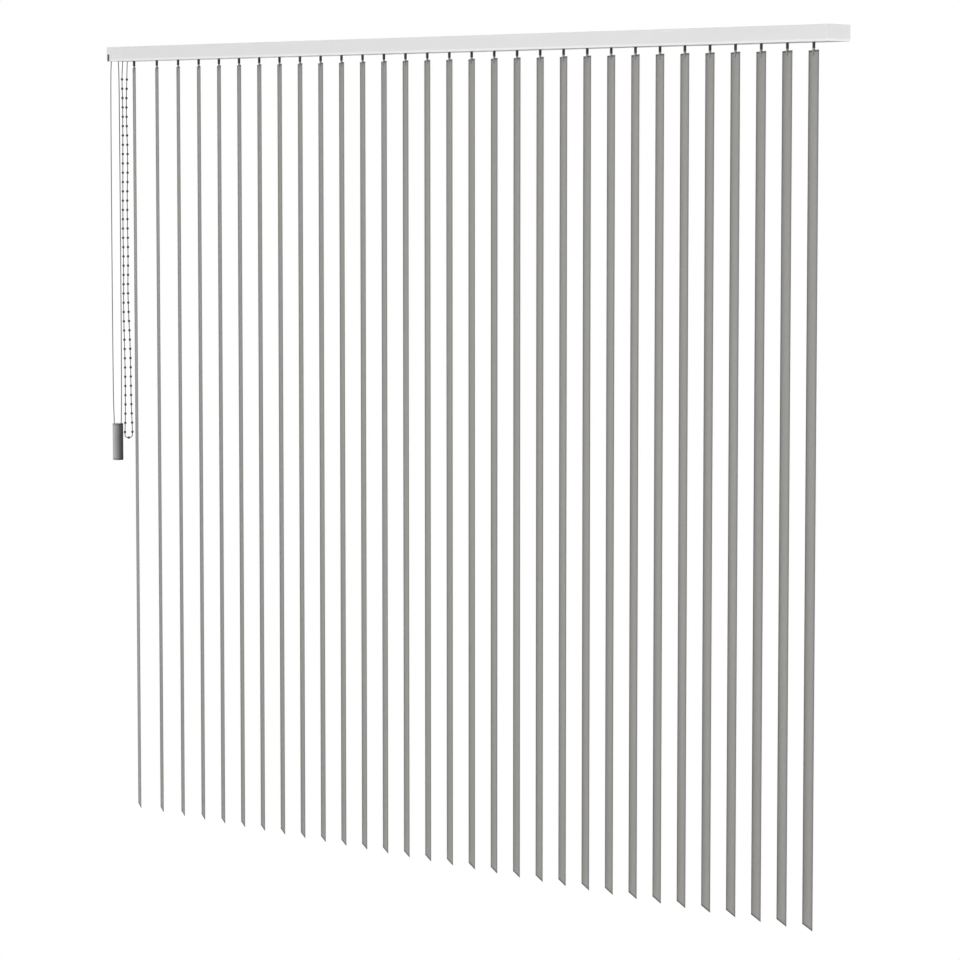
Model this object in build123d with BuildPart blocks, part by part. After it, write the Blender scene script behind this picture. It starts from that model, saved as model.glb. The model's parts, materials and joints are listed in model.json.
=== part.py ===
from build123d import *
from math import exp, pi
import os

# Vertical blind: flat slats hung in a row from carriers that run in a ceiling headrail.
# A bead chain turns the tilt rod, whose worms turn every slat together.
# A weighted cord loop draws the row of carriers along the rail.
# X runs along the rail, Y points away from the room and Z is up.
# The origin is the middle of the rail's top, over the line of the stems.

os.makedirs("parts", exist_ok=True)

# Slats
slat_count = 31
slat_width = 89.0
slat_length = 2027.0
slat_thickness = 0.9
slat_pitch = 78.0
slat_drop = 18.2
slat_angle = -35.6
lead_stretch_share = 0.207
lead_decay_share = 1.78
slat_slot_width = 9.0
slat_slot_height = 4.0
slat_slot_inset = 5.0

# Headrail
rail_front = 33.0
rail_back = 42.0
rail_height = 38.5
rail_wall = 1.8
rail_corner = 1.0
stem_gap = 13.0
lip_width = 9.0
lip_thickness = 1.6
recess_depth = 6.0
rib_height = 4.0
rib_thickness = 1.4
plug_length = 12.0
plug_width = 5.0
plug_height = 20.0
plug_fit = 0.15

# Cord and its pulleys
cord_r = 1.3
cord_sides = 8
cord_clearance = 0.15
cord_headroom = 2.2
cord_pulley_r = 6.0
loop_pulley_r = 12.0
cord_row_front = 11.0
groove_lip = 1.5
groove_flare = 0.75
axle_r = 2.0
axle_fit = 0.1
axle_lug = 2.0

# Carriers, worms and tilt rod
link_thickness = 0.5
link_width = 3.0
link_lap = 6.0
link_gap = 0.4
link_clearance = 1.0
carrier_length = 18.0
carrier_front = 14.0
carrier_wall = 1.8
carrier_fit = 0.4
worm_r = 4.3
worm_length = 12.0
worm_sides = 8
worm_cover = 2.2
pinion_r = 6.3
pinion_teeth = 12
pinion_height = 8.0
mesh_gap = 0.4
well_fit = 0.15
rod_side = 4.8
rod_fit = 0.05
rod_slot_fit = 0.4
journal_r = 2.4
journal_length = 6.0
journal_fit = 0.1
journal_wall = 2.0
clamp_length = 10.0
clamp_wall = 2.0

# Stems and slat clips
shank_r = 3.4
bearing_fit = 0.08
foot_side = 2.2
foot_length = 2.5
foot_fit = 0.1
clip_width = 10.0
clip_cheek = 1.6
clip_head = 4.0
clip_reach = 12.0
clip_fit = 0.1
clip_seat = 0.3
lug_height = 2.6
lug_fit = 0.3

# Bead chain and its wheel
bead_pitch = 25.4
bead_r = 3.6
bead_length = 7.4
bead_clear = 0.9
beads_per_strand = 39
first_bead_drop = 43.5
chain_cord_r = 1.2
chain_sides = 6
wheel_pockets = 2
wheel_width = 9.0
wheel_rim = 1.3
wheel_flare = 1.6
pocket_fit = 0.3
wheel_gap = 0.6

# Control housing, cover, cord guide and end cap
case_wall = 2.0
cover_thickness = 2.5
bulkhead = 2.5
cord_margin = 7.9
last_slat_inset = 72.0
end_clearance = 1.0
cord_hole_r = 2.0
chain_hole_r = 4.2
guide_width = 8.5
guide_height = 19.0
guide_base = 9.0
guide_reach = 4.0
cord_window = 5.0
boss_r = 3.6
boss_inset = 6.0
screw_r = 1.5
screw_fit = 0.05
screw_head_r = 2.8
screw_head = 1.6
screw_length = 12.0
pulley_post_r = 4.0
pulley_post_gap = 0.2
pulley_play = 1.2

# Cord weight
weight_height = 101.0
weight_drop = 989.0
weight_wall = 0.8
weight_play = 0.3
weight_end = 5.0
weight_chamfer = 0.8
spigot_length = 3.0
spigot_fit = 0.1
yoke_thickness = 2.0
yoke_width = 8.0
slug_gap = 1.0

# Ceiling clips
clip_count = 4
mount_inset = 210.0
mount_width = 25.0
mount_sheet = 1.2
mount_play = 0.3
mount_foot = 5.0
mount_hole_r = 2.6

# Heights, from the ceiling down
chamber_top = -recess_depth - rail_wall
chamber_floor = rail_wall - rail_height
cord_z = chamber_top - cord_headroom - cord_r
carrier_top = cord_z - cord_r - link_clearance - link_thickness
rod_z = carrier_top - worm_cover - worm_r
well_floor = rod_z - worm_r - well_fit
pinion_bottom = well_floor + well_fit / 2
slat_top = -rail_height - slat_drop
pulley_z = cord_z - cord_pulley_r

# Places across the rail
rail_depth = rail_front + rail_back
rail_mid = (rail_back - rail_front) / 2
rod_y = pinion_r + worm_r + mesh_gap
carrier_back = rod_y + worm_r + well_fit + carrier_wall
cord_front_y = -cord_row_front - loop_pulley_r
cord_back_y = -cord_row_front + loop_pulley_r
chain_r = wheel_pockets * bead_pitch / (2 * pi)

# Places along the rail
pulley_rim_r = cord_pulley_r + groove_lip
chain_inset = slat_width / 2 + bead_r + bead_clear
cord_inset = chain_inset + wheel_width / 2 + wheel_gap + pulley_rim_r + cord_pulley_r
first_slat_inset = cord_inset + cord_margin
slat_row = [0]
for step in range(slat_count - 1):
    slat_row.append(slat_row[-1] + slat_pitch * (1 + lead_stretch_share * exp(-step / lead_decay_share)))
rail_length = first_slat_inset + slat_row[-1] + last_slat_inset
rail_left = -rail_length / 2
rail_right = rail_length / 2
slat_xs = [rail_left + first_slat_inset + place for place in slat_row]
chain_x = slat_xs[0] - chain_inset
cord_x = slat_xs[0] - cord_inset
pulley_x = cord_x + cord_pulley_r
case_left = rail_left + cover_thickness
bulkhead_x = chain_x + wheel_width / 2 + wheel_gap
bulkhead_end = bulkhead_x + bulkhead
case_right = slat_xs[0] - carrier_length / 2 - end_clearance
cap_left = slat_xs[-1] + carrier_length / 2 + end_clearance
return_rim_r = loop_pulley_r + groove_lip
return_x = rail_right - case_wall - return_rim_r - pulley_play


def outline():
    """Outer section of the rail, which the housing and the end cap share."""
    with Locations((rail_mid, -rail_height / 2)):
        RectangleRounded(rail_depth, rail_height, rail_corner)


def span(low, high, bottom, top, mode=Mode.ADD):
    """Rectangle of a sketch between two places across and two heights."""
    with Locations(((low + high) / 2, (bottom + top) / 2)):
        Rectangle(high - low, top - bottom, mode=mode)


def block(x, y, z, mode=Mode.ADD):
    """Box of a part between two places on each axis."""
    with Locations(((x[0] + x[1]) / 2, (y[0] + y[1]) / 2, (z[0] + z[1]) / 2)):
        Box(x[1] - x[0], y[1] - y[0], z[1] - z[0], mode=mode)


def bar(plane, radius, length, mode=Mode.ADD):
    """Round bar or hole that starts on a plane and runs along its normal."""
    with BuildSketch(plane) as section:
        Circle(radius)
    extrude(section.sketch, amount=length, mode=mode)


def plugs(start, end):
    """Two tongues that slide into the rail's front and back corners."""
    foot = chamber_floor + plug_fit
    front = rail_wall - rail_front + plug_fit
    back = rail_back - rail_wall - plug_fit
    block((start, end), (front, front + plug_width), (foot, foot + plug_height))
    block((start, end), (back - plug_width, back), (foot, foot + plug_height))


def pulley(plane, line_r, bore_r):
    """Grooved wheel about a plane's x axis, with the cord's centre at line_r."""
    rim_r = line_r + groove_lip
    floor_r = line_r - cord_r - cord_clearance
    floor_half = cord_r + cord_clearance
    rim_half = floor_half + groove_flare
    with BuildPart() as wheel:
        with BuildSketch(plane):
            with BuildLine():
                Polyline(
                    (-rim_half, bore_r),
                    (rim_half, bore_r),
                    (rim_half, rim_r),
                    (floor_half, floor_r),
                    (-floor_half, floor_r),
                    (-rim_half, rim_r),
                    close=True,
                )
            make_face()
        revolve(axis=Axis(plane.origin, plane.x_dir))
    return wheel


def save(piece, name):
    """Label a finished piece and write it."""
    piece.label = name
    export_step(piece, f"parts/{name}.step")


# Headrail: an extruded channel with a clip recess on top and a stem gap below
front_rib = -carrier_front - carrier_fit
back_rib = carrier_back + carrier_fit
with BuildPart() as headrail:
    with BuildSketch(Plane.YZ.offset(case_right)):
        outline()
        span(rail_wall - rail_front, rail_back - rail_wall, chamber_floor, chamber_top, Mode.SUBTRACT)
        span(rail_wall - rail_front, rail_back - rail_wall, -recess_depth, -lip_thickness, Mode.SUBTRACT)
        span(lip_width - rail_front, rail_back - lip_width, -lip_thickness, 0, Mode.SUBTRACT)
        span(-stem_gap / 2, stem_gap / 2, -rail_height, chamber_floor, Mode.SUBTRACT)
        span(front_rib - rib_thickness, front_rib, chamber_floor, chamber_floor + rib_height)
        span(back_rib, back_rib + rib_thickness, chamber_floor, chamber_floor + rib_height)
    extrude(amount=cap_left - case_right)
save(headrail.part, "headrail")

# Control housing: a moulded box at the rail's left end, closed by the cover and parted by a bulkhead
guide_right = case_left + guide_width
guide_back = cord_front_y + guide_reach
boss_places = [
    (rail_back - boss_inset, -boss_inset),
    (rail_back - boss_inset, boss_inset - rail_height),
]
lug_bottom = pulley_z - axle_r - axle_lug
front_lug = cord_front_y - cord_r - groove_lip - pulley_play
back_lug = cord_back_y + cord_r + groove_lip + pulley_play
with BuildPart() as control_housing:
    with BuildSketch(Plane.YZ.offset(case_left)):
        outline()
    extrude(amount=case_right - case_left)
    for room in ((case_left, bulkhead_x), (bulkhead_end, case_right)):
        block(
            room,
            (case_wall - rail_front, rail_back - case_wall),
            (case_wall - rail_height, -case_wall),
            Mode.SUBTRACT,
        )
    # Notch of the cord guide in the lower front corner
    block(
        (case_left, guide_right),
        (-rail_front, case_wall - rail_front),
        (-rail_height, guide_height - rail_height),
        Mode.SUBTRACT,
    )
    block(
        (case_left, guide_right),
        (-rail_front, guide_back),
        (-rail_height, case_wall - rail_height),
        Mode.SUBTRACT,
    )
    # Lugs that hang from the roof and carry the pulley axle
    for lug in (front_lug - axle_lug, back_lug):
        block(
            (pulley_x - axle_r - axle_lug, pulley_x + axle_r + axle_lug),
            (lug, lug + axle_lug),
            (lug_bottom, -case_wall),
        )
    lug_plane = Plane((pulley_x, front_lug - axle_lug, pulley_z), z_dir=(0, 1, 0))
    bar(lug_plane, axle_r + axle_fit / 2, back_lug - front_lug + 2 * axle_lug, Mode.SUBTRACT)
    # Screw bosses behind the cover
    for place in boss_places:
        boss_plane = Plane((case_left, *place), z_dir=(1, 0, 0))
        bar(boss_plane, boss_r, bulkhead_x - case_left)
        bar(boss_plane, screw_r + screw_fit, screw_length, Mode.SUBTRACT)
    # Holes in the floor for the back cord and the chain
    floor_plane = Plane.XY.offset(-rail_height)
    with BuildSketch(floor_plane):
        with Locations((cord_x, cord_back_y)):
            Circle(cord_hole_r)
        with Locations((chain_x, rod_y - chain_r), (chain_x, rod_y + chain_r)):
            Circle(chain_hole_r)
    extrude(amount=case_wall, mode=Mode.SUBTRACT)
    # Ways through the bulkhead for the tilt rod and the two cord strands
    bar(Plane((bulkhead_x, rod_y, rod_z), z_dir=(1, 0, 0)), worm_r, bulkhead, Mode.SUBTRACT)
    for strand in (cord_front_y, cord_back_y):
        block(
            (bulkhead_x, bulkhead_end),
            (strand - cord_window / 2, strand + cord_window / 2),
            (cord_z - cord_window / 2, cord_z + cord_window / 2),
            Mode.SUBTRACT,
        )
    plugs(bulkhead_end, case_right + plug_length)
save(control_housing.part, "control_housing")

# Cover: the rail's left end plate, with the tilt rod's bearing on its inner face
with BuildPart() as control_cover:
    with BuildSketch(Plane.YZ.offset(rail_left)):
        outline()
    extrude(amount=cover_thickness)
    bearing_plane = Plane((case_left, rod_y, rod_z), z_dir=(1, 0, 0))
    bar(bearing_plane, journal_r + journal_wall, journal_length)
    bar(bearing_plane, journal_r + journal_fit, journal_length, Mode.SUBTRACT)
    for place in boss_places:
        face_plane = Plane((rail_left, *place), z_dir=(1, 0, 0))
        bar(face_plane, screw_r + screw_fit, cover_thickness, Mode.SUBTRACT)
        bar(face_plane, screw_head_r + screw_fit, screw_head, Mode.SUBTRACT)
save(control_cover.part, "control_cover")

# Cover screws: two pan-headed screws, flush in the cover
with BuildPart() as cover_screws:
    for place in boss_places:
        head_plane = Plane((rail_left, *place), z_dir=(1, 0, 0))
        bar(head_plane, screw_head_r, screw_head)
        bar(head_plane.offset(screw_head), screw_r, screw_length + cover_thickness - screw_head)
save(cover_screws.part, "cover_screws")

# Cord guide: a dark insert, bent round the housing's lower front corner
with BuildPart() as cord_guide:
    with BuildSketch(Plane.YZ.offset(case_left)):
        outline()
        span(case_wall - rail_front, rail_back, guide_base - rail_height, 0, Mode.SUBTRACT)
        span(guide_back, rail_back, -rail_height, guide_base - rail_height, Mode.SUBTRACT)
        span(-rail_front, case_wall - rail_front, guide_height - rail_height, 0, Mode.SUBTRACT)
    extrude(amount=guide_width)
    with BuildSketch(Plane.XY.offset(-rail_height)):
        with Locations((cord_x, cord_front_y)):
            Circle(cord_hole_r)
    extrude(amount=guide_base, mode=Mode.SUBTRACT)
save(cord_guide.part, "cord_guide")

# End cap: a moulded box at the right end, open towards the rail
with BuildPart() as end_cap:
    with BuildSketch(Plane.YZ.offset(cap_left)):
        outline()
    extrude(amount=rail_right - cap_left)
    block(
        (cap_left, rail_right - case_wall),
        (case_wall - rail_front, rail_back - case_wall),
        (case_wall - rail_height, -case_wall),
        Mode.SUBTRACT,
    )
    end_plane = Plane((rail_right - case_wall, rod_y, rod_z), z_dir=(-1, 0, 0))
    bar(end_plane, journal_r + journal_wall, journal_length)
    bar(end_plane, journal_r + journal_fit, journal_length, Mode.SUBTRACT)
    plugs(cap_left - plug_length, cap_left + rail_wall)
save(end_cap.part, "end_cap")

# Return pulley on its stepped post in the end cap
with BuildPart() as return_post:
    post_plane = Plane((return_x, -cord_row_front, case_wall - rail_height))
    rim_half = cord_r + cord_clearance + groove_flare
    shoulder = cord_z - rim_half - pulley_post_gap
    bar(post_plane, pulley_post_r, shoulder - post_plane.origin.Z)
    bar(post_plane, axle_r, -case_wall - post_plane.origin.Z)
save(return_post.part, "return_post")
return_plane = Plane((return_x, -cord_row_front, cord_z), x_dir=(0, 0, 1), z_dir=(0, 1, 0))
return_pulley = pulley(return_plane, loop_pulley_r, axle_r + axle_fit)
save(return_pulley.part, "return_pulley")

# Cord pulleys and their axle in the control housing
with BuildPart() as cord_axle:
    bar(lug_plane, axle_r, back_lug - front_lug + 2 * axle_lug)
save(cord_axle.part, "cord_axle")
for name, strand in (("cord_pulley_front", cord_front_y), ("cord_pulley_back", cord_back_y)):
    pulley_plane = Plane((pulley_x, strand, pulley_z), x_dir=(0, 1, 0), z_dir=(1, 0, 0))
    cord_pulley = pulley(pulley_plane, cord_pulley_r, axle_r + axle_fit)
    save(cord_pulley.part, name)

# Carrier: a moulded block that slides on the rail's floor, open on top for pinion and worm
well_half = max(pinion_r, worm_length / 2) + well_fit
carrier_mid = (carrier_back - carrier_front) / 2
with BuildPart() as carrier:
    with BuildSketch(Plane.XY.offset(chamber_floor)):
        with Locations((0, carrier_mid)):
            Rectangle(carrier_length, carrier_front + carrier_back)
    extrude(amount=carrier_top - chamber_floor)
    with BuildSketch(Plane.XY.offset(well_floor)):
        span(-well_half, well_half, -pinion_r - well_fit, rod_y + worm_r + well_fit)
    extrude(amount=carrier_top - well_floor, mode=Mode.SUBTRACT)
    slot_half = rod_side * 2**0.5 / 2 + rod_slot_fit
    with BuildSketch(Plane.YZ):
        span(rod_y - slot_half, rod_y + slot_half, rod_z - slot_half, carrier_top)
    extrude(amount=carrier_length / 2, both=True, mode=Mode.SUBTRACT)
    with BuildSketch(Plane.XY.offset(chamber_floor)):
        Rectangle(2 * (shank_r + bearing_fit), 2 * (shank_r + bearing_fit))
    extrude(amount=well_floor - chamber_floor, mode=Mode.SUBTRACT)

with BuildPart() as carriers:
    with Locations(*[(x, 0, 0) for x in slat_xs[1:]]):
        add(carrier.part, clean=False)
save(carriers.part, "carriers")

# Lead carrier: the same block with an arm that clamps the front cord strand
clamp_half = cord_r + clamp_wall
with BuildPart() as lead_carrier:
    add(carrier.part.moved(Location((slat_xs[0], 0, 0))))
    clamp_x = (slat_xs[0] - clamp_length / 2, slat_xs[0] + clamp_length / 2)
    clamp_bottom = cord_z - clamp_half
    clamp_top = chamber_top - cord_headroom / 2
    clamp_front = cord_front_y - clamp_half
    block(clamp_x, (clamp_front, -carrier_front), (clamp_bottom, clamp_bottom + clamp_wall))
    block(clamp_x, (clamp_front, cord_front_y + clamp_half), (clamp_bottom, clamp_top))
    clamp_plane = Plane((clamp_x[0], cord_front_y, cord_z), z_dir=(1, 0, 0))
    bar(clamp_plane, cord_r + axle_fit, clamp_length, Mode.SUBTRACT)
save(lead_carrier.part, "lead_carrier")

# Spacer links: thin strips on the carriers' front edges, each from one carrier to the next
with BuildPart() as spacer_links:
    with BuildSketch(Plane.XY.offset(carrier_top)):
        for step in range(slat_count - 1):
            lane = (step % 2) * (link_width + link_gap) + link_gap - carrier_front
            span(slat_xs[step] - link_lap, slat_xs[step + 1] + link_lap, lane, lane + link_width)
    extrude(amount=link_thickness, clean=False)
save(spacer_links.part, "spacer_links")

# Tilt rod: a square bar with a round journal at each end
rod_start = case_left + journal_length
rod_end = rail_right - case_wall - journal_length
with BuildPart() as tilt_rod:
    with BuildSketch(Plane.YZ.offset(rod_start)):
        with Locations((rod_y, rod_z)):
            Rectangle(rod_side, rod_side)
    extrude(amount=rod_end - rod_start)
    bar(Plane((case_left, rod_y, rod_z), z_dir=(1, 0, 0)), journal_r, journal_length)
    bar(Plane((rod_end, rod_y, rod_z), z_dir=(1, 0, 0)), journal_r, journal_length)
save(tilt_rod.part, "tilt_rod")

# Worms: one in each carrier, keyed on the square rod and drawn at their pitch size
with BuildPart() as worm:
    with BuildSketch(Plane.YZ):
        with Locations((rod_y, rod_z)):
            RegularPolygon(worm_r, worm_sides)
            Rectangle(rod_side + rod_fit, rod_side + rod_fit, mode=Mode.SUBTRACT)
    extrude(amount=worm_length / 2, both=True)

with BuildPart() as worm_gears:
    with Locations(*[(x, 0, 0) for x in slat_xs]):
        add(worm.part, clean=False)
save(worm_gears.part, "worm_gears")

# Chain wheel: a grooved wheel on the rod, with a pocket for each bead that it carries
wheel_plane = Plane((chain_x, rod_y, rod_z), x_dir=(1, 0, 0), z_dir=(0, -1, 0))
wheel_half = wheel_width / 2
groove_r = chain_r - chain_cord_r - cord_clearance
with BuildPart() as chain_wheel:
    with BuildSketch(wheel_plane):
        with BuildLine():
            Polyline(
                (-wheel_half, 0),
                (wheel_half, 0),
                (wheel_half, chain_r + wheel_rim),
                (wheel_half - wheel_flare / 2, chain_r + wheel_rim),
                (chain_cord_r + cord_clearance, groove_r),
                (-chain_cord_r - cord_clearance, groove_r),
                (wheel_flare / 2 - wheel_half, chain_r + wheel_rim),
                (-wheel_half, chain_r + wheel_rim),
                close=True,
            )
        make_face()
    revolve(axis=Axis(wheel_plane.origin, wheel_plane.x_dir))
    with BuildSketch(Plane.YZ.offset(chain_x - wheel_half)):
        with Locations((rod_y, rod_z)):
            Rectangle(rod_side + rod_fit, rod_side + rod_fit)
    extrude(amount=wheel_width, mode=Mode.SUBTRACT)
    with Locations(Plane((chain_x, rod_y, rod_z), z_dir=(1, 0, 0))):
        with PolarLocations(chain_r, wheel_pockets):
            Cylinder(bead_r + pocket_fit, 2 * (bead_r + pocket_fit), mode=Mode.SUBTRACT)
save(chain_wheel.part, "chain_wheel")

# Bead chain: an endless cord with moulded beads, bare where it passes over the wheel
chain_front_y = rod_y - chain_r
chain_back_y = rod_y + chain_r
first_bead_z = -rail_height - first_bead_drop
last_bead_z = first_bead_z - (beads_per_strand - 1) * bead_pitch
loop_z = last_bead_z - bead_pitch + pi * chain_r / 2
loop_low = loop_z - chain_r
bead_profile = [(bead_length / 2, chain_cord_r), (0, bead_r), (-bead_length / 2, chain_cord_r)]
with BuildPart() as strand:
    stations = [(rod_z, chain_cord_r)]
    for bead in range(beads_per_strand):
        middle = first_bead_z - bead * bead_pitch
        stations += [(middle + rise, radius) for rise, radius in bead_profile]
    stations.append((loop_z, chain_cord_r))
    for height, radius in stations:
        with BuildSketch(Plane((chain_x, 0, height))):
            RegularPolygon(radius, chain_sides)
    loft(ruled=True, clean=False)

with BuildPart() as chain_bends:
    for start_z, crown_z in ((loop_z, loop_low), (rod_z, rod_z + chain_r)):
        with BuildLine():
            ThreePointArc(
                (chain_x, chain_front_y, start_z),
                (chain_x, rod_y, crown_z),
                (chain_x, chain_back_y, start_z),
            )
        with BuildSketch(Plane((chain_x, chain_front_y, start_z))):
            RegularPolygon(chain_cord_r, chain_sides)
        sweep()
    for reach, radius in bead_profile:
        with BuildSketch(Plane((chain_x, rod_y + reach, loop_low), x_dir=(1, 0, 0), z_dir=(0, 1, 0))):
            RegularPolygon(radius, chain_sides)
    loft(ruled=True)

with BuildPart() as bead_chain:
    add(
        [
            strand.part.moved(Location((0, chain_front_y, 0))),
            strand.part.moved(Location((0, chain_back_y, 0))),
            chain_bends.part,
        ],
        clean=False,
    )
save(bead_chain.part, "bead_chain")

# Rail cord: the loop's stretch inside the rail, over the cord pulleys and round the return pulley
quarter_share = 0.5**0.5
with BuildPart() as rail_cord:
    with BuildLine():
        for strand in (cord_front_y, cord_back_y):
            ThreePointArc(
                (cord_x, strand, pulley_z),
                (pulley_x - cord_pulley_r * quarter_share, strand, pulley_z + cord_pulley_r * quarter_share),
                (pulley_x, strand, cord_z),
            )
            Line((pulley_x, strand, cord_z), (return_x, strand, cord_z))
        ThreePointArc(
            (return_x, cord_front_y, cord_z),
            (return_x + loop_pulley_r, -cord_row_front, cord_z),
            (return_x, cord_back_y, cord_z),
        )
    with BuildSketch(Plane((cord_x, cord_front_y, pulley_z))):
        RegularPolygon(cord_r, cord_sides)
    sweep()
save(rail_cord.part, "rail_cord")

# Traverse cord: the free stretch that hangs from the cord pulleys, round the weight's pulley
weight_top = -rail_height - weight_drop
weight_bottom = weight_top - weight_height
weight_pulley_z = weight_top - weight_end - loop_pulley_r - groove_lip - pulley_play
with BuildPart() as traverse_cord:
    with BuildLine():
        Line((cord_x, cord_front_y, pulley_z), (cord_x, cord_front_y, weight_pulley_z))
        ThreePointArc(
            (cord_x, cord_front_y, weight_pulley_z),
            (cord_x, -cord_row_front, weight_pulley_z - loop_pulley_r),
            (cord_x, cord_back_y, weight_pulley_z),
        )
        Line((cord_x, cord_back_y, weight_pulley_z), (cord_x, cord_back_y, pulley_z))
    with BuildSketch(Plane((cord_x, cord_front_y, pulley_z))):
        RegularPolygon(cord_r, cord_sides)
    sweep()
save(traverse_cord.part, "traverse_cord")
print("cord radii:", cord_pulley_r, loop_pulley_r, "chain radius:", round(chain_r, 3))

# Cord weight: a tube between two end pieces, with a steel slug and the loop's pulley inside
weight_plane = Plane((cord_x, -cord_row_front, weight_bottom))
tube_bottom = weight_bottom + weight_end
tube_top = weight_top - weight_end
bore_r = loop_pulley_r + groove_lip + weight_play
weight_r = bore_r + weight_wall
with BuildPart() as weight_shell:
    bar(weight_plane.offset(weight_end), weight_r, tube_top - tube_bottom)
    bar(weight_plane.offset(weight_end), bore_r, tube_top - tube_bottom, Mode.SUBTRACT)
save(weight_shell.part, "weight_shell")

# Weight base with its spigot
with BuildPart() as weight_base:
    bar(weight_plane, weight_r, weight_end)
    bar(weight_plane, bore_r - spigot_fit, weight_end + spigot_length)
    chamfer(weight_base.edges().filter_by(GeomType.CIRCLE).group_by(Axis.Z)[0], length=weight_chamfer)
save(weight_base.part, "weight_base")

# Weight slug on the base's spigot
slug_bottom = tube_bottom + spigot_length
slug_top = weight_pulley_z - loop_pulley_r - groove_lip - slug_gap
with BuildPart() as weight_slug:
    bar(weight_plane.offset(slug_bottom - weight_bottom), bore_r - spigot_fit, slug_top - slug_bottom)
save(weight_slug.part, "weight_slug")

# Weight cap: the top disc with two cord holes and a yoke that carries the pulley's pin
yoke_inner = cord_r + groove_lip + pulley_play
yoke_bottom = weight_pulley_z - axle_r - axle_lug
with BuildPart() as weight_cap:
    bar(weight_plane.offset(weight_height - weight_end), weight_r, weight_end)
    chamfer(weight_cap.edges().filter_by(GeomType.CIRCLE).group_by(Axis.Z)[-1], length=weight_chamfer)
    for side in (-yoke_inner - yoke_thickness, yoke_inner):
        block(
            (cord_x + side, cord_x + side + yoke_thickness),
            (-cord_row_front - yoke_width / 2, -cord_row_front + yoke_width / 2),
            (yoke_bottom, tube_top),
        )
    pin_plane = Plane(
        (cord_x - yoke_inner - yoke_thickness, -cord_row_front, weight_pulley_z), z_dir=(1, 0, 0)
    )
    bar(pin_plane, axle_r + axle_fit / 2, 2 * (yoke_inner + yoke_thickness), Mode.SUBTRACT)
    with BuildSketch(weight_plane.offset(weight_height - weight_end)):
        with Locations((0, -loop_pulley_r), (0, loop_pulley_r)):
            Circle(cord_r + cord_clearance)
    extrude(amount=weight_end, mode=Mode.SUBTRACT)
save(weight_cap.part, "weight_cap")

with BuildPart() as weight_pin:
    bar(pin_plane, axle_r, 2 * (yoke_inner + yoke_thickness))
save(weight_pin.part, "weight_pin")
weight_wheel_plane = Plane((cord_x, -cord_row_front, weight_pulley_z), x_dir=(1, 0, 0), z_dir=(0, -1, 0))
weight_pulley = pulley(weight_wheel_plane, loop_pulley_r, axle_r + axle_fit)
save(weight_pulley.part, "weight_pulley")

# Ceiling clips: spring-steel strips, flush with the rail's top, hooked under its lips
web_half = rail_depth / 2 - lip_width - mount_play
mount_spacing = (rail_length - 2 * mount_inset) / (clip_count - 1)
with BuildPart() as mounting_clips:
    for number in range(clip_count):
        mount_x = rail_left + mount_inset + number * mount_spacing
        with BuildSketch(Plane((mount_x, rail_mid, 0), x_dir=(0, 1, 0), z_dir=(1, 0, 0))):
            span(-web_half, web_half, -mount_sheet, 0)
            for side in (-1, 1):
                inner = side * (web_half - mount_sheet)
                outer = side * web_half
                tip = side * (web_half + mount_foot)
                span(min(inner, outer), max(inner, outer), -lip_thickness - mount_sheet, 0)
                span(min(inner, tip), max(inner, tip), -lip_thickness - mount_sheet, -lip_thickness)
        extrude(amount=mount_width / 2, both=True)
        bar(Plane((mount_x, 0, -mount_sheet)), mount_hole_r, mount_sheet, Mode.SUBTRACT)
save(mounting_clips.part, "mounting_clips")

# Stem: a pinion and a round shank with a square foot, drawn about its own axis
head_bottom = slat_top + clip_seat
head_top = head_bottom + clip_head
shank_bottom = head_top + foot_fit
with BuildPart() as stem:
    with BuildSketch(Plane.XY.offset(pinion_bottom)):
        RegularPolygon(pinion_r, pinion_teeth)
    extrude(amount=pinion_height)
    bar(Plane.XY.offset(shank_bottom), shank_r, pinion_bottom - shank_bottom)
    with BuildSketch(Plane.XY.offset(shank_bottom - foot_length)):
        Rectangle(foot_side, foot_side)
    extrude(amount=foot_length)

# Slat holder: pushed onto the stem's foot, with two cheeks and the lug that carries the slat
clip_thickness = slat_thickness + 2 * (clip_fit + clip_cheek)
clip_bottom = slat_top - clip_reach
slot_top = slat_top - slat_slot_inset
lug_top = slot_top - clip_fit
lug_half = slat_slot_width / 2 - lug_fit
mouth = slat_thickness / 2 + clip_fit
with BuildPart() as holder:
    with BuildSketch(Plane.YZ):
        span(-clip_thickness / 2, clip_thickness / 2, clip_bottom, head_top)
        span(-mouth, mouth, clip_bottom, head_bottom, Mode.SUBTRACT)
    extrude(amount=clip_width / 2, both=True)
    block(
        (-lug_half, lug_half),
        (-clip_thickness / 2, clip_thickness / 2),
        (lug_top - lug_height, lug_top),
    )
    with BuildSketch(Plane.XY.offset(head_top - foot_length)):
        Rectangle(foot_side + 2 * foot_fit, foot_side + 2 * foot_fit)
    extrude(amount=foot_length, mode=Mode.SUBTRACT)

# Slat: a flat vane with a punched slot that hangs on the holder's lug
with BuildPart() as vane:
    with BuildSketch(Plane.XZ):
        span(-slat_width / 2, slat_width / 2, slat_top - slat_length, slat_top)
        span(
            -slat_slot_width / 2,
            slat_slot_width / 2,
            slot_top - slat_slot_height,
            slot_top,
            Mode.SUBTRACT,
        )
    extrude(amount=slat_thickness / 2, both=True)

for number, x in enumerate(slat_xs, start=1):
    place = Location((x, 0, 0), (0, 0, slat_angle))
    with BuildPart() as slat:
        add(vane.part.moved(place))
        add(holder.part.moved(place))
        add(stem.part.moved(place))
    save(slat.part, f"slat_{number:02d}")
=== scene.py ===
import json
from math import pi, radians

import bmesh
import bpy
from mathutils import Matrix, Vector


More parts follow.
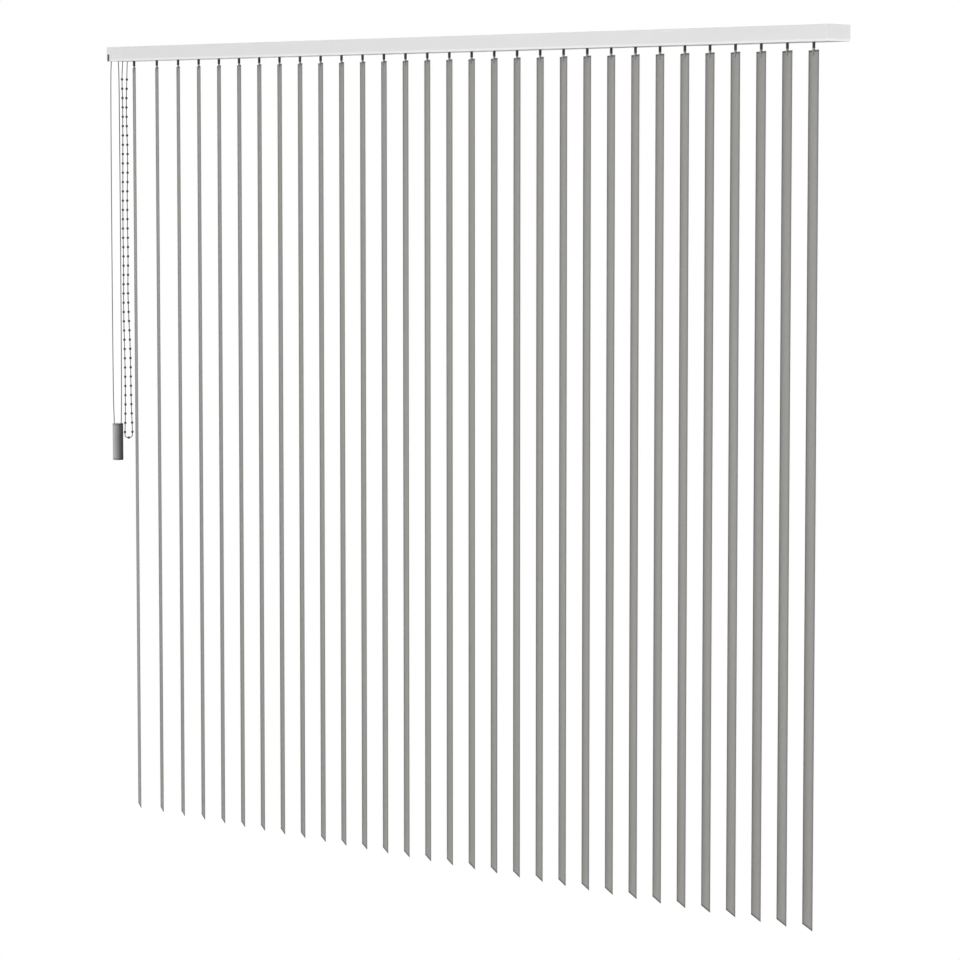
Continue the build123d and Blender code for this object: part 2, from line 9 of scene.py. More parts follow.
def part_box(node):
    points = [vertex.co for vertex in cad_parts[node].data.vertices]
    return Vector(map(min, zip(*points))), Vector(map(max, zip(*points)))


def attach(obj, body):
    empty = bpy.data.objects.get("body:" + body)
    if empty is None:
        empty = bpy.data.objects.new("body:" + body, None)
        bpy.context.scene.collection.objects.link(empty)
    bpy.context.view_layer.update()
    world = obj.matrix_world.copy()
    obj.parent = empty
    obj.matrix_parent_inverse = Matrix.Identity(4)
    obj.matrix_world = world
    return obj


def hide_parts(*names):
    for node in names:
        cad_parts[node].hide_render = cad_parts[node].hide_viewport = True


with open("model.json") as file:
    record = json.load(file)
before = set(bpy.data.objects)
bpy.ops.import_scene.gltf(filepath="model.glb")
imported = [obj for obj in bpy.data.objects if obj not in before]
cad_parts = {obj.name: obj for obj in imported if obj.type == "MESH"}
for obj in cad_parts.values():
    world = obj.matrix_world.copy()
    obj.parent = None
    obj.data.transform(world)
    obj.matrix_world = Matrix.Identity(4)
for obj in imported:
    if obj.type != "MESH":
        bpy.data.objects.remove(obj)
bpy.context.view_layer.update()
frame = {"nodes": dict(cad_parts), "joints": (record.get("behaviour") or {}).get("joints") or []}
nodes = frame["nodes"]
joint_at = {joint["child"]: Vector(joint["pos_m"]) for joint in frame["joints"]}
scene = bpy.context.scene


# Headrail: an aluminium extrusion with a satin white powder coat, baked on before it is cut.
# The coat has the faint orange peel of sprayed powder and is a little uneven in gloss. A paler band
# along the foot of its sides is a painted highlight.
class Value:
    """A socket in a material's nodes; sums and products of values add Math nodes."""

    def __init__(self, tree, socket=None):
        self.tree = tree
        self.socket = socket

    def node(self, kind, settings, sockets, output=0):
        made = self.tree.nodes.new(kind)
        for name, setting in settings.items():
            setattr(made, name, setting)
        for name, value in sockets.items():
            if isinstance(value, Value):
                self.tree.links.new(value.socket, made.inputs[name])
            else:
                made.inputs[name].default_value = value
        return Value(self.tree, made.outputs[output])

    def math(self, operation, first, second=0.0):
        return self.node("ShaderNodeMath", {"operation": operation}, {0: first, 1: second})

    def __add__(self, other):
        return self.math("ADD", self, other)

    def __sub__(self, other):
        return self.math("SUBTRACT", self, other)

    def __rsub__(self, other):
        return self.math("SUBTRACT", other, self)

    def __mul__(self, other):
        return self.math("MULTIPLY", self, other)

    __radd__ = __add__
    __rmul__ = __mul__

    def place(self):
        """Where a point of the piece lies, in metres."""
        return self.node("ShaderNodeTexCoord", {}, {}, "Object")

    def coordinate(self, axis):
        """One coordinate of a place."""
        return self.node("ShaderNodeSeparateXYZ", {}, {0: self}, axis)

    def noise(self, stretch, detail=2.0):
        """Noise over the piece, with its number of grains per metre along each axis."""
        spread = self.node(
            "ShaderNodeVectorMath", {"operation": "MULTIPLY"}, {0: self.place(), 1: stretch}
        )
        sockets = {"Vector": spread, "Scale": 1.0, "Detail": detail}
        return self.node("ShaderNodeTexNoise", {}, sockets, "Fac")

    def ramp(self, low, high, first=0.0, last=1.0):
        """Goes from first to last while this value goes from low to high."""
        return self.node("ShaderNodeMapRange", {}, {0: self, 1: low, 2: high, 3: first, 4: last})

    def mix(self, dark, light):
        """A colour between two, by this value."""
        ends = [end if isinstance(end, Value) else (*end, 1) for end in (dark, light)]
        sockets = {0: self, 6: ends[0], 7: ends[1]}
        return self.node("ShaderNodeMix", {"data_type": "RGBA"}, sockets, 2)

    def bump(self, height):
        """Surface normal raised by this value, up to a height in metres."""
        return self.node("ShaderNodeBump", {}, {"Strength": 1.0, "Distance": height, "Height": self})


def finish(name, metallic=0.0):
    """A new material with its shader and the start of its sums."""
    material = bpy.data.materials.new(name)
    material.use_nodes = True
    shader = material.node_tree.nodes["Principled BSDF"]
    shader.inputs["Metallic"].default_value = metallic
    return material, shader, Value(material.node_tree)


def feed(shader, **values):
    """Link values to a shader's sockets."""
    for name, value in values.items():
        value.tree.links.new(value.socket, shader.inputs[name.replace("_", " ")])


def dress(material, *names):
    """Give kept nodes their finish."""
    for name in names:
        nodes[name].material_slots[0].material = material


rail_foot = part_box("headrail")[0].z
highlight_top, highlight_full = 0.007, 0.0035
underside, foot_edge = 0.0001, 0.0005
coat_dim, coat_bright = (0.674, 0.674, 0.674), (0.704, 0.704, 0.702)
# Painted highlight colour for the band along the foot of the rail's sides.
coat_highlight = (0.8, 0.8, 0.798)
peel_height = 0.00004


def painted_lip_highlight(start):
    """A painted highlight band: one along the foot of the rail's sides, and nothing above it or
    underneath.
    """
    height = start.place().coordinate("Z") - rail_foot
    return height.ramp(highlight_top, highlight_full) * height.ramp(underside, foot_edge)


powder_coat, shader, start = finish("powder_coat")
peel = start.noise((700, 700, 700))
cloud = start.noise((5, 9, 9))
feed(
    shader,
    # The pale band at the foot of the sides is a painted highlight.
    Base_Color=painted_lip_highlight(start).mix(cloud.mix(coat_dim, coat_bright), coat_highlight),
    Roughness=0.36 + 0.14 * cloud + 0.06 * peel,
    Normal=peel.bump(peel_height),
)
dress(powder_coat, "headrail")

# End mouldings: the control housing with its cover at the left end and the cap at the right end.
# They are injection moulded in white plastic with a fine eroded grain, and plug into the rail.
moulding_dim, moulding_bright = (0.685, 0.685, 0.685), (0.715, 0.715, 0.712)
# Painted highlight colour for the band along the foot of the mouldings' sides.
moulding_highlight = (0.8, 0.8, 0.797)
grain_height = 0.00003

white_moulding, shader, start = finish("white_moulding")
grain = start.noise((1500, 1500, 1500))
flow = start.noise((14, 14, 14))
feed(
    shader,
    # The mouldings get the same painted highlight band along the foot of their sides.
    Base_Color=painted_lip_highlight(start).mix(flow.mix(moulding_dim, moulding_bright), moulding_highlight),
    Roughness=0.44 + 0.1 * flow + 0.08 * grain,
    Normal=grain.bump(grain_height),
)
dress(white_moulding, "control_housing", "control_cover", "end_cap")

# Cord guide: a small insert pushed into the rail's lower front corner, where the cord comes out.
# It is moulded in a dark grey plastic with a fine grain, rubbed a little by the cord.
guide_dark, guide_light = (0.045, 0.045, 0.046), (0.075, 0.075, 0.077)

guide_plastic, shader, start = finish("guide_plastic")
grain = start.noise((1300, 1300, 1300))
rub = start.noise((60, 60, 25))
feed(
    shader,
    Base_Color=rub.mix(guide_dark, guide_light),
    Roughness=0.4 + 0.18 * rub + 0.08 * grain,
    Normal=grain.bump(grain_height),
)
dress(guide_plastic, "cord_guide")

# Steel pieces: spring clips, screws, axles, pins, the weight's slug and the thin spacer links.
# They are zinc plated, with the rolling marks of the strip along the rail.
zinc_dark, zinc_light = (0.5, 0.5, 0.51), (0.68, 0.68, 0.69)
rolled_height = 0.00002

zinc_steel, shader, start = finish("zinc_steel", metallic=1.0)
rolled = start.noise((30, 900, 900), 4.0)
spangle = start.noise((160, 160, 160))
feed(
    shader,
    Base_Color=spangle.mix(zinc_dark, zinc_light),
    Roughness=0.26 + 0.2 * rolled,
    Normal=rolled.bump(rolled_height),
)
dress(
    zinc_steel,
    "mounting_clips",
    "cover_screws",
    "return_post",
    "cord_axle",
    "weight_pin",
    "weight_slug",
    "spacer_links",
)

# Runners: the carriers, worms, pulleys and chain wheel, moulded in natural acetal.
# The plastic is smooth and slightly waxy, and it is not coloured.
acetal_dark, acetal_light = (0.62, 0.62, 0.6), (0.72, 0.72, 0.7)
wax_height = 0.00005

acetal, shader, start = finish("acetal")
wax = start.noise((90, 90, 90))
feed(
    shader,
    Base_Color=wax.mix(acetal_dark, acetal_light),
    Roughness=0.3 + 0.16 * wax,
    Normal=wax.bump(wax_height),
)
dress(
    acetal,
    "carriers",
    "lead_carrier",
    "worm_gears",
    "chain_wheel",
    "return_pulley",
    "cord_pulley_front",
    "cord_pulley_back",
    "weight_pulley",
)

# Tilt rod: a drawn square aluminium bar that carries the worms and turns in the end mouldings.
# Drawing leaves fine lines along it.
rod_dark, rod_light = (0.62, 0.62, 0.63), (0.78, 0.78, 0.79)
drawn_height = 0.00002

drawn_rod, shader, start = finish("drawn_rod", metallic=1.0)
lines = start.noise((6, 1600, 1600), 4.0)
feed(
    shader,
    Base_Color=lines.mix(rod_dark, rod_light),
    Roughness=0.28 + 0.16 * lines,
    Normal=lines.bump(drawn_height),
)
dress(drawn_rod, "tilt_rod")

# Traverse cord: a 2.6 mm braided polyester loop that draws the carriers along.
# It hangs from the two cord pulleys and is drawn down by the weight that runs on it.
# Its strands bow apart a little.
cord_d = 0.0026
loop_r = 0.012
loop_centre = joint_at["weight_pulley"]
cord_x = loop_centre.x
front_y = joint_at["cord_pulley_front"].y
back_y = joint_at["cord_pulley_back"].y
cord_top = joint_at["cord_pulley_front"].z
near_pulley = 6 * cord_d
loop_low = loop_centre.z - loop_r
front_bow, back_bow = 0.004, 0.003
bow_high, bow_low = -0.09, -0.94
route = [
    (cord_x, front_y, cord_top),
    (cord_x, front_y, cord_top - near_pulley),
    (cord_x, front_y - front_bow, bow_high),
    (cord_x, front_y - front_bow, bow_low),
    (cord_x, front_y, loop_centre.z + near_pulley),
    (cord_x, front_y, loop_low),
    (cord_x, back_y, loop_low),
    (cord_x, back_y, loop_centre.z + near_pulley),
    (cord_x, back_y + back_bow, bow_low),
    (cord_x, back_y + back_bow, bow_high),
    (cord_x, back_y, cord_top - near_pulley),
    (cord_x, back_y, cord_top),
]
braid_dark, braid_light = (0.08, 0.08, 0.079), (0.15, 0.15, 0.147)
braid_height = 0.00012


def hanging_line(name, points, steps=8):
    """A smooth curve over a route, with no thickness yet."""
    line = bpy.data.curves.new(name, "CURVE")
    line.dimensions = "3D"
    spline = line.splines.new("NURBS")
    spline.points.add(len(points) - 1)
    for point, place in zip(spline.points, points):
        point.co = (*place, 1)
    spline.order_u = 3
    spline.use_endpoint_u = True
    line.resolution_u = steps
    piece = bpy.data.objects.new(name, line)
    scene.collection.objects.link(piece)
    return piece


def along(piece):
    """The points of a curve that has no thickness, and how far along it each one lies."""
    bpy.context.view_layer.update()
    drawn = piece.evaluated_get(bpy.context.evaluated_depsgraph_get())
    mesh = bpy.data.meshes.new_from_object(drawn)
    points = [vertex.co.copy() for vertex in mesh.vertices]
    bpy.data.meshes.remove(mesh)
    reach = [0.0]
    for here, there in zip(points, points[1:]):
        reach.append(reach[-1] + (there - here).length)
    return points, reach


def thicken(piece, diameter, material, round_steps=3):
    """Give a curve its round section and its finish."""
    piece.data.bevel_depth = diameter / 2
    piece.data.bevel_resolution = round_steps
    piece.data.use_fill_caps = True
    piece.data.materials.append(material)


braid, shader, start = finish("braided_polyester")
lay = start.node(
    "ShaderNodeTexWave",
    {"bands_direction": "DIAGONAL"},
    {"Vector": start.place(), "Scale": 260.0, "Distortion": 1.5},
    "Fac",
)
tufts = start.noise((900, 900, 350))
feed(
    shader,
    Base_Color=(0.6 * lay + 0.4 * tufts).mix(braid_dark, braid_light),
    Roughness=0.6 + 0.2 * tufts,
    Normal=(lay + tufts).bump(braid_height),
)
dress(braid, "rail_cord")
traverse_cord = hanging_line("traverse_cord_loop", route)
cord_length = along(traverse_cord)[1][-1]
thicken(traverse_cord, cord_d, braid)
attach(traverse_cord, "rail")
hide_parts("traverse_cord")

# Cord weight: a satin-plated steel tube between two turned ends, with the slug and pulley inside.
# The tube is drawn and lightly brushed round, and its rims are rolled over a little.
shell_low, shell_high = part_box("weight_shell")
shell_r = (shell_high.x - shell_low.x) / 2
shell_wall = 0.0008
shell_round = 0.00025
round_segments = 3
shell_sides = 56
shell_axis = Vector(((shell_low.x + shell_high.x) / 2, (shell_low.y + shell_high.y) / 2, 0))
seam_gap = 0.000001
rim_dark, rim_light = (0.19, 0.19, 0.194), (0.25, 0.25, 0.254)
tube_dark, tube_light = (0.27, 0.27, 0.275), (0.35, 0.35, 0.355)
brushed_height = 0.00001

tube = bmesh.new()
wall = [
    tube.verts.new((shell_r - inset, 0, height))
    for inset, height in (
        (shell_wall, shell_low.z),
        (0, shell_low.z),
        (0, shell_high.z),
        (shell_wall, shell_high.z),
    )
]
for here, there in zip(wall, wall[1:] + wall[:1]):
    tube.edges.new((here, there))
bmesh.ops.bevel(
    tube,
    geom=wall,
    offset=shell_round,
    affect="VERTICES",
    segments=round_segments,
    profile=0.5,
    material=-1,
)
bmesh.ops.spin(
    tube,
    geom=tube.verts[:] + tube.edges[:],
    cent=(0, 0, 0),
    axis=(0, 0, 1),
    angle=2 * pi,
    steps=shell_sides,
    use_merge=True,
)
bmesh.ops.remove_doubles(tube, verts=tube.verts, dist=seam_gap)
bmesh.ops.recalc_face_normals(tube, faces=tube.faces)
bmesh.ops.translate(tube, verts=tube.verts, vec=shell_axis)


def piece_from(name, mesh, material, smooth_deg=35):
    """Turn a finished bmesh into an object, smooth except at its edges."""
    data = bpy.data.meshes.new(name)
    mesh.to_mesh(data)
    mesh.free()
    data.materials.append(material)
    data.shade_smooth()
    data.set_sharp_from_angle(angle=radians(smooth_deg))
    piece = bpy.data.objects.new(name, data)
    scene.collection.objects.link(piece)
    return piece


def plating(name, dark, light):
    """Dark metal, brushed round the weight's axis."""
    material, shader, start = finish(name, metallic=1.0)
    brushing = start.noise((35, 35, 2200), 3.0)
    haze = start.noise((45, 45, 20))
    feed(
        shader,
        Base_Color=haze.mix(dark, light),
        Roughness=0.24 + 0.1 * brushing + 0.06 * haze,
        Normal=brushing.bump(brushed_height),
    )
    return material


dress(plating("rim_plating", rim_dark, rim_light), "weight_base", "weight_cap")
weight_tube = piece_from("weight_tube", tube, plating("tube_plating", tube_dark, tube_light))
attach(weight_tube, "rail")
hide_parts("weight_shell")

# Bead chain: an endless loop of thin grey cord with dark beads moulded on it an inch apart.
# It hangs slack from the wheel on the tilt rod, so its strands wander a little.
chain_d = 0.0024
bead_r = 0.0036
bead_half = 0.0037
bead_pitch = 0.0254
bead_sides, bead_rows = 14, 9
first_bead_drop = 0.0666
beads_per_strand = 39
wheel_pockets = 2
chain_low, chain_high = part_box("bead_chain")
chain_x = (chain_low.x + chain_high.x) / 2
wheel_axis = joint_at["tilt_drive"]
chain_r = wheel_pockets * bead_pitch / (2 * pi)
chain_front = wheel_axis.y - chain_r
chain_back = wheel_axis.y + chain_r
chain_low_z = chain_low.z + bead_r
bend_top = chain_low_z + 2 * chain_r
chain_route = [
    (chain_x, chain_front, wheel_axis.z),
    (chain_x - 0.002, chain_front, -0.035),
    (chain_x - 0.0065, chain_front, -0.085),
    (chain_x - 0.0035, chain_front, -0.15),
    (chain_x - 0.0045, chain_front, -0.28),
    (chain_x - 0.0072, chain_front, -0.49),
    (chain_x - 0.0048, chain_front, -0.58),
    (chain_x - 0.0072, chain_front, -0.73),
    (chain_x - 0.0025, chain_front, -0.84),
    (chain_x - 0.0018, chain_front, -1.0),
    (chain_x - 0.004, chain_front - 0.001, bend_top),
    (chain_x - 0.0035, chain_front - 0.001, chain_low_z),
    (chain_x + 0.0045, chain_back + 0.002, chain_low_z),
    (chain_x + 0.0055, chain_back + 0.002, bend_top),
    (chain_x + 0.0025, chain_back, -0.96),
    (chain_x + 0.002, chain_back, -0.83),
    (chain_x - 0.008, chain_back, -0.68),
    (chain_x - 0.0045, chain_back, -0.57),
    (chain_x - 0.008, chain_back, -0.42),
    (chain_x - 0.0025, chain_back, -0.31),
    (chain_x - 0.0085, chain_back, -0.17),
    (chain_x - 0.0045, chain_back, -0.085),
    (chain_x - 0.002, chain_back, -0.035),
    (chain_x, chain_back, wheel_axis.z),
]
chain_dark, chain_light = (0.09, 0.09, 0.089), (0.15, 0.15, 0.148)
fibre_height = 0.00008
bead_dark, bead_light = (0.055, 0.055, 0.057), (0.085, 0.085, 0.087)

chain_cord = hanging_line("chain_cord", chain_route)
chain_points, chain_reach = along(chain_cord)
grey_cord, shader, start = finish("grey_cord")
fibre = start.noise((1200, 1200, 260))
feed(
    shader,
    Base_Color=fibre.mix(chain_dark, chain_light),
    Roughness=0.55 + 0.2 * fibre,
    Normal=fibre.bump(fibre_height),
)
thicken(chain_cord, chain_d, grey_cord)

chain_length = chain_reach[-1]
from_ends = [first_bead_drop + number * bead_pitch for number in range(beads_per_strand)]
lowest_bead = [chain_length / 2]
bead_reaches = from_ends + lowest_bead + [chain_length - reach for reach in reversed(from_ends)]
beads = bmesh.new()
bead_size = Matrix.Diagonal((bead_r, bead_r, bead_half, 1))
station = 0
for reach in bead_reaches:
    while chain_reach[station + 1] < reach:
        station += 1
    here, there = chain_points[station], chain_points[station + 1]
    share = (reach - chain_reach[station]) / (chain_reach[station + 1] - chain_reach[station])
    turn = (there - here).to_track_quat("Z", "Y").to_matrix().to_4x4()
    bmesh.ops.create_uvsphere(
        beads,
        u_segments=bead_sides,
        v_segments=bead_rows,
        radius=1,
        matrix=Matrix.Translation(here.lerp(there, share)) @ turn @ bead_size,
    )
bead_plastic, shader, start = finish("bead_plastic")
mould = start.noise((500, 500, 500))
feed(
    shader,
    Base_Color=mould.mix(bead_dark, bead_light),
    Roughness=0.28 + 0.14 * mould,
    Normal=mould.bump(grain_height),
)
chain_beads = piece_from("chain_beads", beads, bead_plastic)
for piece in (chain_cord, chain_beads):
    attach(piece, "rail")
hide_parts("bead_chain")

# Slats: flat strips of stiff matt sheet in warm grey, cut square, with a slot punched near the top.
# The sheet has a fine woven grain and faint streaks along its length. It is darkened towards its long
# sides as painted shade, and is darker along its ends.
slat_width = 0.089
slat_length = 2.027
slat_thickness = 0.0009
slat_top = joint_at["slat_01"].z
slat_turn = radians(-35.6)
slot_width = 0.009
slot_high = slat_top - 0.005
slot_low = slot_high - 0.004
edge_round = 0.0002
edge_segments = 2
corner_angle = 1.0
slat_names = sorted(name for name in nodes if name.startswith("slat_"))
sheet_dark, sheet_light = (0.355, 0.349, 0.337), (0.455, 0.447, 0.431)
# Painted shade colour for the slat's long sides.
side_shade = (0.2, 0.196, 0.189)
end_edge = (0.14, 0.137, 0.132)
end_edge_from, end_edge_full = 0.4968, 0.499
threads_across = 2 * pi * 120
threads_along = 2 * pi * 2700
weave_height = 0.00006

sheet_grey, shader, start = finish("sheet_grey")
spot = start.node("ShaderNodeUVMap", {"uv_map": "sheet"}, {})
across = spot.coordinate("X")
lengthways = spot.coordinate("Y")
aside = across - 0.5
square = 4 * aside * aside
# Mask for the painted shade, strongest at the slat's long sides.
side_shade_mask = square * square
cut_end = start.math("ABSOLUTE", lengthways - 0.5).ramp(end_edge_from, end_edge_full)
warp = start.math("SINE", across * threads_across)
weft = start.math("SINE", lengthways * threads_along)
weave = warp * weft
streaks = start.noise((330, 330, 2.5), 3.0)
tone = start.noise((2.2, 2.2, 0.6))
sheet = (0.6 * streaks + 0.3 * tone + 0.05 * weave).mix(sheet_dark, sheet_light)
feed(
    shader,
    # The long sides are darkened here as painted shade.
    Base_Color=cut_end.mix(side_shade_mask.mix(sheet, side_shade), end_edge),
    Roughness=0.74 + 0.12 * streaks,
    Normal=(weave + 1.2 * streaks).bump(weave_height),
)
shader.inputs["Specular IOR Level"].default_value = 0.08


def vane_mesh():
    """One slat about its own axis, with its slot, rounded cut edges and a map of its surface."""
    vane = bmesh.new()
    size = Matrix.Diagonal((slat_width, slat_thickness, slat_length, 1))
    middle = Matrix.Translation((0, 0, slat_top - slat_length / 2))
    bmesh.ops.create_cube(vane, size=1, matrix=middle @ size)
    for place, facing in (
        ((-slot_width / 2, 0, 0), (1, 0, 0)),
        ((slot_width / 2, 0, 0), (1, 0, 0)),
        ((0, 0, slot_low), (0, 0, 1)),
        ((0, 0, slot_high), (0, 0, 1)),
    ):
        whole = vane.verts[:] + vane.edges[:] + vane.faces[:]
        bmesh.ops.bisect_plane(vane, geom=whole, plane_co=place, plane_no=facing)
    punched = []
    for face in vane.faces:
        centre = face.calc_center_median()
        if abs(centre.x) < slot_width / 2 and slot_low < centre.z < slot_high:
            punched.append(face)
    rims = list(dict.fromkeys(edge for face in punched for edge in face.edges))
    bmesh.ops.delete(vane, geom=punched, context="FACES_ONLY")
    bmesh.ops.bridge_loops(vane, edges=rims)
    bmesh.ops.bevel(
        vane,
        geom=[edge for edge in vane.edges if edge.calc_face_angle(0) > corner_angle],
        offset=edge_round,
        affect="EDGES",
        segments=edge_segments,
        profile=0.5,
        material=-1,
    )
    bmesh.ops.recalc_face_normals(vane, faces=vane.faces)
    surface = vane.loops.layers.uv.new("sheet")
    for face in vane.faces:
        for loop in face.loops:
            spot = loop.vert.co
            loop[surface].uv = (spot.x / slat_width + 0.5, (spot.z - slat_top) / slat_length + 1)
    return vane


def hang(mesh, name):
    """Move a mesh from its own axis to a slat's place and turn."""
    place = Matrix.Translation((joint_at[name].x, joint_at[name].y, 0))
    turn = Matrix.Rotation(slat_turn, 4, "Z")
    bmesh.ops.transform(mesh, matrix=place @ turn, verts=mesh.verts)


for name in slat_names:
    vane = vane_mesh()
    hang(vane, name)
    slat = piece_from(name.replace("slat", "vane"), vane, sheet_grey)
    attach(slat, name)
    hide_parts(name)

# Stems: dark moulded spindles that turn in the carriers, with a toothed pinion at the top.
# Each one comes down through the rail's gap and ends in the clip that the slat hangs from.
stem_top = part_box("slat_01")[1].z
pinion_low = stem_top - 0.008
pinion_tip = 0.0063
pinion_root = 0.0051
teeth = 12
points_per_tooth = 4
shank_r = 0.0034
shank_sides = 20
foot_r = 0.0013
clip_top = slat_top + 0.0043
shank_low = clip_top + 0.0001
foot_low = shank_low - 0.0025
shank_round = 0.0003
stem_dark, stem_light = (0.018, 0.018, 0.019), (0.036, 0.036, 0.038)

stem_plastic, shader, start = finish("stem_plastic")
grain = start.noise((1300, 1300, 1300))
wear = start.noise((90, 90, 40))
feed(
    shader,
    Base_Color=wear.mix(stem_dark, stem_light),
    Roughness=0.38 + 0.18 * wear + 0.08 * grain,
    Normal=grain.bump(grain_height),
)


def ring(mesh, radius, height, sides, filled=False):
    """A ring of edges about the stem's axis, or a disc."""
    place = Matrix.Translation((0, 0, height))
    made = bmesh.ops.create_circle(
        mesh, cap_ends=filled, radius=radius, segments=sides, matrix=place
    )
    return made["verts"]


def stem_mesh():
    """Pinion, shank and foot about the stem's own axis."""
    stem = bmesh.new()
    pinion = ring(stem, pinion_tip, pinion_low, points_per_tooth * teeth, filled=True)
    for number, vert in enumerate(pinion):
        if number % points_per_tooth >= points_per_tooth / 2:
            vert.co.xy *= pinion_root / pinion_tip
    blank = list(dict.fromkeys(face for vert in pinion for face in vert.link_faces))
    risen = bmesh.ops.extrude_face_region(stem, geom=blank, use_keep_orig=True)["geom"]
    top = [item for item in risen if isinstance(item, bmesh.types.BMVert)]
    bmesh.ops.translate(stem, verts=top, vec=(0, 0, stem_top - pinion_low))
    rings = [
        ring(stem, radius, height, shank_sides)
        for radius, height in (
            (shank_r, pinion_low),
            (shank_r, shank_low + shank_round),
            (shank_r - shank_round, shank_low),
            (foot_r, shank_low),
            (foot_r, foot_low),
        )
    ]
    for above, below in zip(rings, rings[1:]):
        pair = above + below
        edges = dict.fromkeys(edge for vert in pair for edge in vert.link_edges)
        open_edges = [edge for edge in edges if len(edge.link_faces) < 2]
        loops = [edge for edge in open_edges if all(vert in pair for vert in edge.verts)]
        bmesh.ops.bridge_loops(stem, edges=loops)
    for end in (rings[0], rings[-1]):
        bmesh.ops.contextual_create(stem, geom=end)
    bmesh.ops.recalc_face_normals(stem, faces=stem.faces)
    return stem


for name in slat_names:
    stem = stem_mesh()
    hang(stem, name)
    spindle = piece_from(name.replace("slat", "stem"), stem, stem_plastic)
    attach(spindle, name)

# Slat clips: small grey mouldings pushed onto the stems, with two cheeks that straddle the slat.
# A lug between the cheeks goes through the slat's slot and carries it.
clip_width = 0.010
clip_thickness = 0.0043
clip_low = slat_top - 0.012
mouth = slat_thickness / 2 + 0.0001
mouth_top = slat_top + 0.0003
lug_half = 0.0042
lug_high = slot_high - 0.0001
lug_low = lug_high - 0.0026
clip_dark, clip_light = (0.19, 0.19, 0.187), (0.25, 0.25, 0.246)

clip_plastic, shader, start = finish("clip_plastic")
milk = start.noise((240, 240, 240))
feed(
    shader,
    Base_Color=milk.mix(clip_dark, clip_light),
    Roughness=0.34 + 0.16 * milk,
    Normal=milk.bump(grain_height),
)


def bar(mesh, low, high):
    """A square-edged bar between two corners."""
    size = Matrix.Diagonal((*(Vector(high) - Vector(low)), 1))
    middle = Matrix.Translation((Vector(high) + Vector(low)) / 2)
    bmesh.ops.create_cube(mesh, size=1, matrix=middle @ size)


half, cheek = clip_width / 2, clip_thickness / 2
for name in slat_names:
    clip = bmesh.new()
    bar(clip, (-half, -cheek, mouth_top), (half, cheek, clip_top))
    bar(clip, (-half, -cheek, clip_low), (half, -mouth, mouth_top))
    bar(clip, (-half, mouth, clip_low), (half, cheek, mouth_top))
    bar(clip, (-lug_half, -mouth, lug_low), (lug_half, mouth, lug_high))
    hang(clip, name)
    holder = piece_from(name.replace("slat", "clip"), clip, clip_plastic)
    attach(holder, name)

# Studio: a white sweep under an even white sky, with large soft lights in front, behind and at one end.
# Shiny pieces see a bright wall on the left and a dark one on the right. The floor lies below the
# slats, and is clear from underneath.
floor_z = -2.45
floor_side = 90.0
floor_grey = (0.6, 0.6, 0.6)
black, white = (0, 0, 0), (1, 1, 1)

sweep = bmesh.new()
floor_place = Matrix.Translation((0, 0, floor_z))
bmesh.ops.create_grid(sweep, x_segments=1, y_segments=1, size=floor_side / 2, matrix=floor_place)
sweep_white, shader, start = finish("sweep_white")
shader.inputs["Roughness"].default_value = 0.9
shader.inputs["Specular IOR Level"].default_value = 0.0
shader.inputs["Emission Strength"].default_value = 1.0
seen = start.node("ShaderNodeLightPath", {}, {}, "Is Camera Ray")
feed(shader, Base_Color=seen.mix(floor_grey, black), Emission_Color=seen.mix(black, white))
below = start.node("ShaderNodeNewGeometry", {}, {}, "Backfacing")
clear = start.node("ShaderNodeBsdfTransparent", {}, {})
top = Value(start.tree, shader.outputs[0])
surface = start.node("ShaderNodeMixShader", {}, {0: below, 1: top, 2: clear})
feed(start.tree.nodes["Material Output"], Surface=surface)
floor = piece_from("floor", sweep, sweep_white)
floor.visible_glossy = False

sky_light = 0.6
left_wall, right_wall = 1.45, 0.15
left_bearing, right_bearing = -1.5, 1.3
view_right = (0.715, 0.699, 0)
view_back = (0.699, -0.715, 0)
seen_sky = 1.0

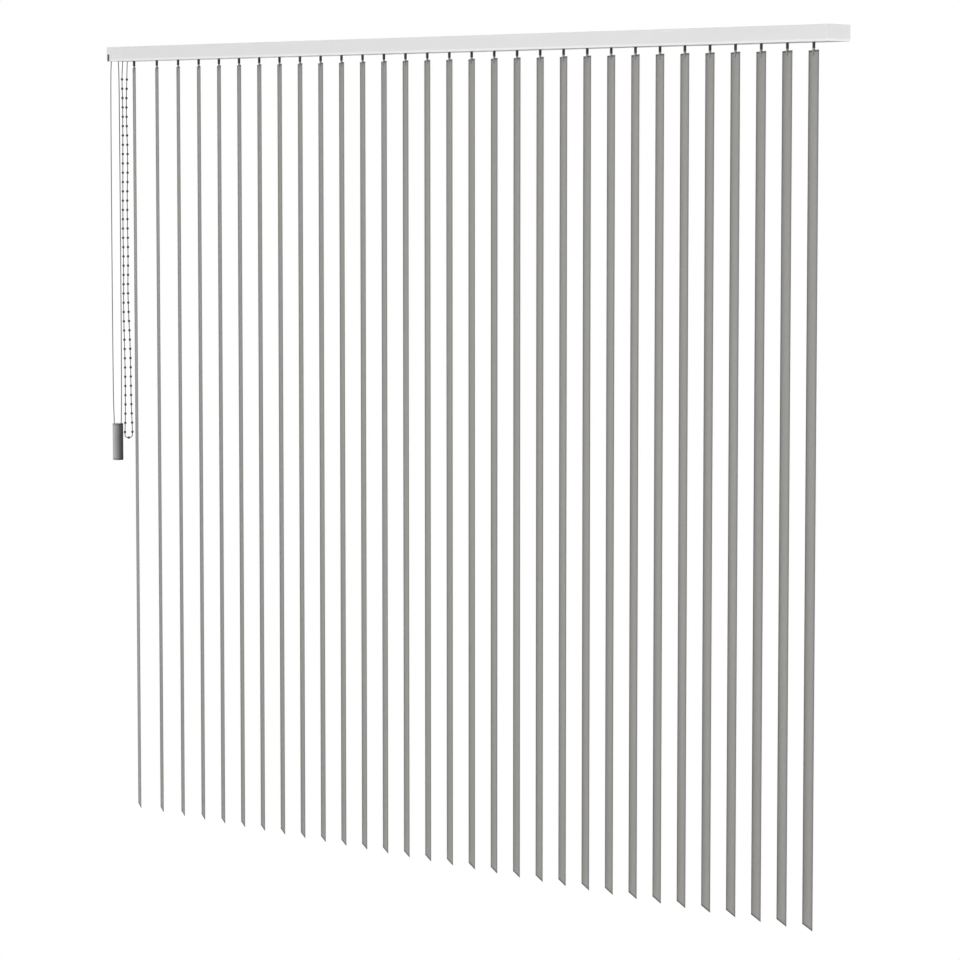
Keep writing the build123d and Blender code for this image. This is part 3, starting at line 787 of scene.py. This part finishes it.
scene.view_settings.view_transform = "Standard"
studio = bpy.data.worlds.new("studio")
scene.world = studio
studio.use_nodes = True
sky = Value(studio.node_tree)
heading = sky.node("ShaderNodeTexCoord", {}, {}, "Generated")
dot = {"operation": "DOT_PRODUCT"}
rightward = sky.node("ShaderNodeVectorMath", dot, {0: heading, 1: view_right}, "Value")
backward = sky.node("ShaderNodeVectorMath", dot, {0: heading, 1: view_back}, "Value")
bearing = sky.math("ARCTAN2", rightward, backward)
walls = bearing.ramp(left_bearing, right_bearing, left_wall, right_wall)
glossy_ray = sky.node("ShaderNodeLightPath", {}, {}, "Is Glossy Ray")
camera_ray = sky.node("ShaderNodeLightPath", {}, {}, "Is Camera Ray")
glow = sky.node("ShaderNodeMix", {}, {0: glossy_ray, 2: sky_light, 3: walls})
glow = sky.node("ShaderNodeMix", {}, {0: camera_ray, 2: glow, 3: seen_sky})
background = studio.node_tree.nodes["Background"]
background.inputs["Color"].default_value = (*white, 1)
feed(background, Strength=glow)

soft_box_wide, soft_box_high = 5.0, 2.4
aim = Vector((0, 0, -1))
for name, place, power in (
    ("front_light", (0.5, -8.0, -1.1), 285),
    ("end_light", (16.0, -2.5, 0.5), 1200),
    ("back_light", (-0.5, 9.0, -0.6), 240),
):
    lamp = bpy.data.lights.new(name, "AREA")
    lamp.shape = "RECTANGLE"
    lamp.size = soft_box_wide
    lamp.size_y = soft_box_high
    lamp.energy = power
    soft_box = bpy.data.objects.new(name, lamp)
    soft_box.location = place
    soft_box.rotation_mode = "QUATERNION"
    soft_box.rotation_quaternion = (aim - soft_box.location).to_track_quat("-Z", "Y")
    soft_box.visible_glossy = False
    scene.collection.objects.link(soft_box)

# Camera: a little below the rail and well to the right, with a long lens.
# It stands about 9.5 m from the middle of the blind.
sensor_mm = 36.0
lens_mm = 140.87
camera_place = (6.66267, -6.6901, -0.3075)
camera_pitch, camera_heading = radians(85.138), radians(44.329)

camera = bpy.data.objects.new("camera", bpy.data.cameras.new("camera"))
camera.data.sensor_width = sensor_mm
camera.data.lens = lens_mm
camera.location = camera_place
camera.rotation_euler = (camera_pitch, 0, camera_heading)
scene.collection.objects.link(camera)
scene.camera = camera
